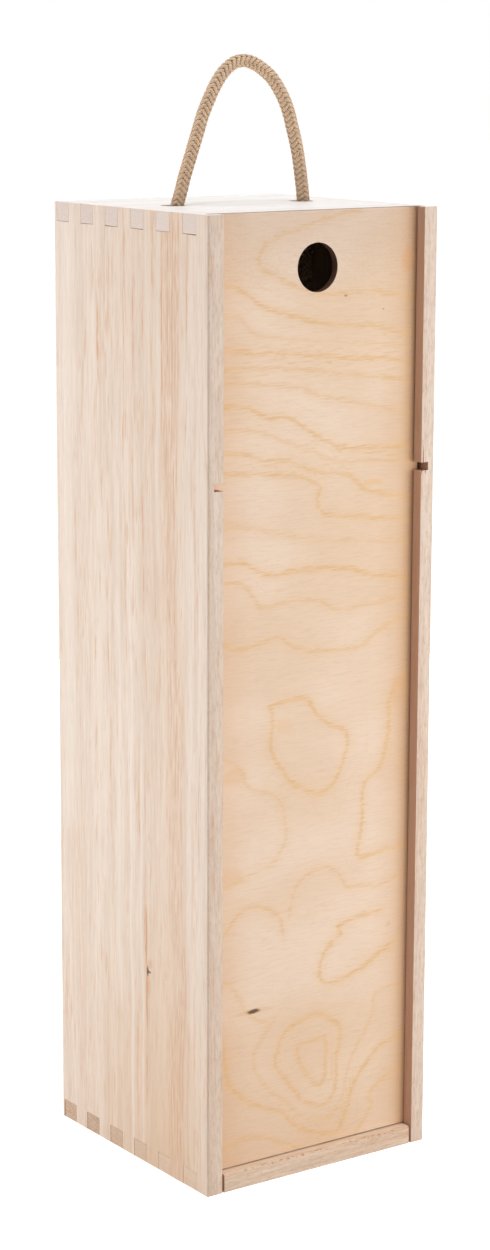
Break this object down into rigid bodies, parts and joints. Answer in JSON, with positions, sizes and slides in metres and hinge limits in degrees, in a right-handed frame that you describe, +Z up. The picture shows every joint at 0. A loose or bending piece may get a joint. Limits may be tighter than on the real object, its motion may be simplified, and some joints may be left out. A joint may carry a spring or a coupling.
{
  "type": "wine gift box",
  "caption": "Tall box-jointed wooden gift box for one bottle, with a plywood lid that slides up out of grooves, a finger hole in it and a knotted rope handle on top.",
  "frame": {"origin": "middle of the box's underside, on the surface it stands on", "axes": "+Z up along the bottle, -Y out of the sliding lid at the front, +X to the right seen from the front"},
  "size_m": [0.1, 0.1006, 0.4085],
  "materials": {
    "pale_board": "sanded bare pale hardwood, matt",
    "plywood": "sanded bare birch plywood, matt",
    "rope": "tight braid of tan plant fibre"
  },
  "bodies": {
    "box": {"left_side": "pale_board", "right_side": "pale_board", "top_panel": "pale_board", "bottom_panel": "pale_board", "back_panel": "plywood", "neck_rest": "plywood", "rope_handle": "rope", "rope_knot_left": "rope", "rope_knot_right": "rope"},
    "lid": {"sliding_lid": "plywood"}
  },
  "joints": [
    {"name": "lid_slide", "type": "slide", "parent": "box", "child": "lid", "axis": [0, 0, 1], "range_m": [0, 0.348]}
  ]
}
